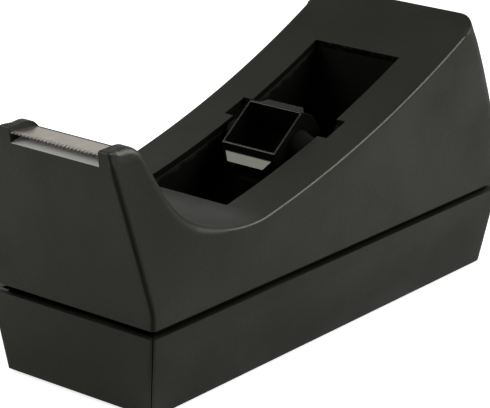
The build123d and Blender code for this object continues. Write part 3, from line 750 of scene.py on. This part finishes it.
# %% [markdown]
# ## Hub
#
# The hub that carries the tape's core is a hollow drum with eight sides, one of them open, and two
# pairs of thin grip lips with bevelled ends. A cone at each end keeps it in the middle of the well and
# ends in a stub shaft. It is drawn in its own frame, v up its open side and w out of it, then tilted.

# %% Build the hub drum
drum_shift = 0.3


def drum_place(points):
    """From the drum's own (x, v, w) to the object's (x, y, z): a turn about the hub's axis."""
    points = np.asarray(points, float)
    x, v, w = points[..., 0], points[..., 1], points[..., 2]
    return np.stack([x - drum_shift, hub_y + v * math.cos(drum_tilt) - w * math.sin(drum_tilt),
                     hub_z + v * math.sin(drum_tilt) + w * math.cos(drum_tilt)], -1)


def prism(profile, halves):
    """Closed solid from a profile of (v, w), each with its own half width along x."""
    profile, halves = np.array(profile, float), np.broadcast_to(halves, len(profile))
    n = len(profile)
    points = np.concatenate([stack(-halves, profile), stack(halves, profile)])
    faces = [[k, (k + 1) % n, n + (k + 1) % n, n + k] for k in range(n)]
    return points, faces + [list(range(n))[::-1], list(range(n, 2 * n))]


def lathe(profile, count=40):
    """Surface of revolution about the hub's axis from (x, radius) pairs."""
    angle = np.linspace(0, 2 * math.pi, count + 1)
    x, r = np.array(profile, float).T
    r = r[:, None]
    return grid(np.stack([np.repeat(x[:, None], count + 1, 1), r * np.cos(angle), r * np.sin(angle)], -1))


eight = [(-6.9, 6.4), (6.4, 6.4), (8.8, 2.3), (8.8, -2.3), (6.5, -6.4), (-6.5, -6.4), (-8.8, -2.3),
         (-8.8, 2.3)]
drum_half, mouth_half, cave_half, cave_floor = 7.8, 6.05, 7.3, -5.0
drum_points, drum_faces = prism(eight, drum_half)
drum_faces = drum_faces[1:]
cave = np.array([(sx * cave_half, sv * mouth_half, w) for w in (6.4, cave_floor)
                 for sv, sx in ((-1.06, -1), (-1.06, 1), (0.97, 1), (0.97, -1))])
cave_faces = [[k, (k + 1) % 4, 4 + (k + 1) % 4, 4 + k] for k in range(4)] + [[4, 5, 6, 7]]
mouth_ring = np.array([(sx * drum_half, v, 6.4) for v, sx in ((-6.9, -1), (-6.9, 1), (6.4, 1), (6.4, -1))])
mouth_points = np.concatenate([mouth_ring, cave[:4]])
drum_parts = [(drum_points, drum_faces), (cave, cave_faces), (mouth_points, cave_faces[:4])]
drum_parts = [(drum_place(p), f) for p, f in drum_parts]
make_piece("hub_drum_shell", drum_parts, hub_plastic, "drum", ["hub_drum"], bevel=0.12,
           flat=True)

# %% [markdown]
# The lips are thin wedges whose free ends are narrower, so that the core slips on. The two beside the
# open side have the hub's glossy plastic; the two below, and the cones with their shafts, take the
# well's darker plastic, a painted shade.

# %% Build the grip lips and the stub shafts
lip = [(6.7, 4.3), (8.0, 4.6), (10.2, 3.75), (9.9, 3.1), (6.8, 3.2)]
short_lip = [(6.3, 4.3), (7.4, 4.6), (9.3, 3.85), (9.0, 3.2), (6.4, 3.2)]
lip_half = np.array([6.8, 6.8, 5.2, 5.2, 6.8])
for name, sv, sw in (("front", -1, 1), ("rear", 1, 1), ("under_front", -1, -1), ("under_rear", 1, -1)):
    lip_points, lip_faces = prism(lip if sv < 0 else short_lip, lip_half)
    lip_points = drum_place(lip_points * np.array([1, sv, sw]))
    make_piece("hub_lip_" + name, [(lip_points, lip_faces)], hub_plastic if sw > 0 else well_plastic,
               "drum", bevel=0.08, flat=True)
shaft = [(8.0, 0.0), (8.0, 4.7), (11.9, 3.3), (11.9, 1.3), (14.5, 1.3), (14.8, 1.0), (14.8, 0.0)]
for name, side_sign in (("right", 1), ("left", -1)):
    points, faces = lathe(shaft)
    points = drum_place(points * np.array([side_sign, 1, 1]))
    make_piece("hub_trunnion_" + name, [(points, faces)], well_plastic, "drum", bevel=0.1)

# %% [markdown]
# ## Cutter
#
# The cutter is a steel strip across the nose that rises a little to the front. Its front edge is
# punched into fine teeth and turned down again, so that it bites the tape. The tooth line is a
# triangle wave along the width: the strip's last stretch is shortened by the height of the wave.

# %% Build the cutter
pitch, tooth = 1.04, 1.3
blade_x = np.arange(-12.48, 12.481, pitch / 8)
wave = np.abs((blade_x / pitch) % 1 - 0.5) * 2
blade_rear, blade_z = lug_rear_y - 0.4, cutter_top - 0.3
bend_y = blade_rear - 6.1
slope, tilt = 0.07, math.radians(6)
bite = (0.1 + tooth * wave)[:, None] * np.linspace(0, 1, 6)[1:]
bent = np.stack([np.repeat(blade_x[:, None], 5, 1), bend_y - bite * math.cos(tilt),
                 blade_z + slope * (blade_rear - bend_y) - bite * math.sin(tilt)], -1)
flat_y = np.linspace(blade_rear, bend_y, 9)
flat = np.stack([np.repeat(blade_x[:, None], 9, 1), np.repeat(flat_y[None], len(blade_x), 0),
                 np.repeat((blade_z + slope * (blade_rear - flat_y))[None], len(blade_x), 0)], -1)
cutter = make_piece("cutter_strip", [grid(np.concatenate([flat, bent], 1))], cutter_steel, "base",
                    ["cutter_blade"], wall=0.3)
if cutter.data.polygons[0].normal.z < 0:
    cutter.data.flip_normals()
cutter.data.materials.append(ground_edge)
for polygon in cutter.data.polygons:
    polygon.use_smooth = False
    polygon.material_index = int(polygon.center.y < bend_y * MM)

# %% [markdown]
# ## Parts whose CAD shape is right
#
# The base, the drawer and the hidden parts keep their CAD meshes and get a finish. The meshes are
# loose triangles, so a weld joins them, a bevel rounds the hard edges, and a small geometry group
# shades the rounded corners smoothly and keeps edges sharper than 30 degrees crisp.

# %% Dress the CAD nodes
def smooth_group():
    """Geometry group: smooth faces, except at edges that turn by more than 30 degrees."""
    group = bpy.data.node_groups.new("shade_by_angle", "GeometryNodeTree")
    group.interface.new_socket("Geometry", in_out="INPUT", socket_type="NodeSocketGeometry")
    group.interface.new_socket("Geometry", in_out="OUTPUT", socket_type="NodeSocketGeometry")
    start, end = group.nodes.new("NodeGroupInput"), group.nodes.new("NodeGroupOutput")
    faces = group.nodes.new("GeometryNodeSetShadeSmooth")
    creases = group.nodes.new("GeometryNodeSetShadeSmooth")
    creases.domain = "EDGE"
    creases.inputs["Shade Smooth"].default_value = False
    angle = group.nodes.new("GeometryNodeInputMeshEdgeAngle")
    sharp = group.nodes.new("FunctionNodeCompare")
    sharp.operation = "GREATER_THAN"
    sharp.inputs["B"].default_value = math.radians(30)
    group.links.new(start.outputs[0], faces.inputs["Geometry"])
    group.links.new(angle.outputs["Unsigned Angle"], sharp.inputs["A"])
    group.links.new(sharp.outputs["Result"], creases.inputs["Selection"])
    group.links.new(faces.outputs["Geometry"], creases.inputs["Geometry"])
    group.links.new(creases.outputs["Geometry"], end.inputs[0])
    return group


shade_by_angle = smooth_group()


def dress(node, finish, bevel=0.0):
    """Gives a CAD node its finish; its own mesh isn't touched."""
    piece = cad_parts[node]
    if piece.material_slots:
        for place in piece.material_slots:
            place.material = finish
    else:
        piece.data.materials.append(finish)
    weld = piece.modifiers.new("weld", "WELD")
    weld.merge_threshold = 2e-6
    if bevel:
        soft = piece.modifiers.new("edge", "BEVEL")
        soft.width, soft.segments = bevel * MM, 2
        soft.limit_method, soft.angle_limit = "ANGLE", math.radians(38)
    shade = piece.modifiers.new("shade", "NODES")
    shade.node_group = shade_by_angle


finishes = {"chassis_plate": (zinc_plate, 0), "chassis_screws": (screw_steel, 0),
            "ballast_nose": (ballast_iron, 0.3), "ballast_rear": (ballast_iron, 0.3),
            "ballast_screws": (screw_steel, 0), "base_housing": (base_plastic, 0.2),
            "housing_screws": (screw_steel, 0), "drawer_front": (base_plastic, 0.2),
            "drawer_tray": (tray_plastic, 0.2), "drawer_screws": (screw_steel, 0),
            "drawer_runner_right": (runner_plastic, 0), "drawer_runner_left": (runner_plastic, 0),
            "hub_bushing_right": (hub_plastic, 0), "hub_bushing_left": (hub_plastic, 0),
            "foot_pad_front_right": (foot_rubber, 0), "foot_pad_front_left": (foot_rubber, 0),
            "foot_pad_rear_right": (foot_rubber, 0), "foot_pad_rear_left": (foot_rubber, 0)}
for node, (finish, bevel) in finishes.items():
    dress(node, finish, bevel)
print(len(finishes), "CAD nodes dressed")

# %% [markdown]
# ## Studio
#
# A pale floor and a white surround. The camera sees them white; gloss and plain light see them much
# softer, so that the dark plastic stays dark and the floor still holds the shadow.

# %% Floor and surround
def studio_floor():
    """A large plane under the feet: pale, and white to the camera away from the shadow."""
    size = 3.0
    mesh = bpy.data.meshes.new("studio_floor")
    corners = [(-size, -size, 0), (size, -size, 0), (size, size, 0), (-size, size, 0)]
    mesh.from_pydata(corners, [], [(0, 1, 2, 3)])
    floor = add_object("studio_floor", mesh)
    material, tree, shader = start_material("studio_white")
    shader.inputs["Base Color"].default_value = (0.8, 0.8, 0.8, 1)
    shader.inputs["Roughness"].default_value = 0.9
    ray = tree.nodes.new("ShaderNodeLightPath")
    shader.inputs["Emission Color"].default_value = (1, 1, 1, 1)
    glow = arithmetic(tree, "MULTIPLY", ray.outputs["Is Camera Ray"], 0.8)
    tree.links.new(glow, shader.inputs["Emission Strength"])
    mesh.materials.append(material)


def surround():
    """White to the camera, softer in reflections, dim as a light."""
    world = bpy.data.worlds.new("studio")
    bpy.context.scene.world = world
    world.use_nodes = True
    tree = world.node_tree
    back = tree.nodes["Background"]
    ray = tree.nodes.new("ShaderNodeLightPath")
    glossy = remap(tree, ray.outputs["Is Glossy Ray"], 0, 1, 0.2, 0.15)
    through = arithmetic(tree, "MAXIMUM", ray.outputs["Is Transmission Ray"], glossy)
    seen = arithmetic(tree, "MAXIMUM", ray.outputs["Is Camera Ray"], through)
    tree.links.new(seen, back.inputs["Strength"])
    back.inputs["Color"].default_value = (1, 1, 1, 1)


studio_floor()
surround()
print("world", bpy.context.scene.world.name)

# %% [markdown]
# A dark card lies on the floor in front of the near corner. Only gloss sees it: it keeps the upright
# edge between the lit front and the lit side dark, as in the photo.

# %% Dark card
def black_card():
    """A dark card on the floor in front of the corner, seen only in reflections."""
    az = np.radians(np.linspace(-8, 78, 9))
    ring = np.stack([np.sin(az), -np.cos(az), 0 * az + 0.002], -1)
    corner = np.array([24, -67, 0])
    near, far = corner * MM + ring * [0.012, 0.012, 1], corner * MM + ring * [0.5, 0.5, 1]
    points, faces = grid(np.stack([near, far]))
    mesh = bpy.data.meshes.new("black_card")
    mesh.from_pydata(points.tolist(), [], faces)
    card = add_object("black_card", mesh)
    material, tree, shader = start_material("black_card")
    shader.inputs["Base Color"].default_value = (0.004, 0.004, 0.004, 1)
    shader.inputs["Roughness"].default_value = 1.0
    shader.inputs["Specular IOR Level"].default_value = 0.0
    mesh.materials.append(material)
    card.visible_camera = card.visible_diffuse = card.visible_shadow = False


black_card()
print("card seen only in gloss")

# %% [markdown]
# Two large soft lamps stand to the left in front and to the right behind, and a weak one low behind to
# the left. They light the front, the right side and the scoop.

# %% Lamps
def lamp(name, azimuth, elevation, distance, size, tall, power):
    """A soft lamp that looks at the object; azimuth 0 is in front, 90 to the right."""
    data = bpy.data.lights.new(name, "AREA")
    data.shape, data.size, data.size_y, data.energy = "RECTANGLE", size, tall, power
    light = add_object(name, data)
    az, el = math.radians(azimuth), math.radians(elevation)
    back = Vector((math.sin(az) * math.cos(el), -math.cos(az) * math.cos(el), math.sin(el)))
    light.location = Vector((0, 0, 0.03)) + back * distance
    light.rotation_euler = back.to_track_quat("Z", "Y").to_euler()


lamp("left_front", -50, 38, 0.7, 0.42, 0.42, 2.3)
lamp("right_rear", 135, 41, 0.7, 0.6, 0.36, 3.1)
lamp("rear_left", 216, 16, 0.8, 0.5, 0.5, 0.5)
print(len(bpy.data.lights), "lamps")

# %% [markdown]
# ## Camera
#
# The photo was matched with one camera: its direction, roll and distance were found from the edges
# of the body, and its lens from the frame's width. The same numbers place the camera here.

# %% Place the camera
azimuth, elevation, roll = (math.radians(v) for v in (37.476, 18.961, 1.301))
back = np.array([math.sin(azimuth) * math.cos(elevation), -math.cos(azimuth) * math.cos(elevation),
                 math.sin(elevation)])
right = np.array([math.cos(azimuth), math.sin(azimuth), 0])
up = np.cross(back, right)
right, up = right * math.cos(roll) + up * math.sin(roll), up * math.cos(roll) - right * math.sin(roll)
shift_right, shift_up, distance, fit_centre = -4.034, 25.461, 558.67, np.array([0, 2.4, 0.6])
spot = right * shift_right + up * shift_up + back * distance + fit_centre
focal_pixels, frame_pixels, sensor_mm = 2302.5, 490, 36
camera_data = bpy.data.cameras.new("camera")
camera_data.sensor_fit, camera_data.sensor_width = "HORIZONTAL", sensor_mm
camera_data.lens = focal_pixels / frame_pixels * sensor_mm
camera_data.clip_start, camera_data.clip_end = 0.05, 20
camera = add_object("camera", camera_data)
columns = np.stack([right, up, back, spot * MM], -1)
camera.matrix_world = Matrix([*columns.tolist(), (0, 0, 0, 1)])
bpy.context.scene.camera = camera
bpy.context.scene.view_settings.view_transform = "Standard"
print("camera %.0f mm away" % np.linalg.norm(spot))

# %% [markdown]
# ## Last step
#
# The view layer is brought up to date once more.

# %% Update the view layer
bpy.context.view_layer.update()
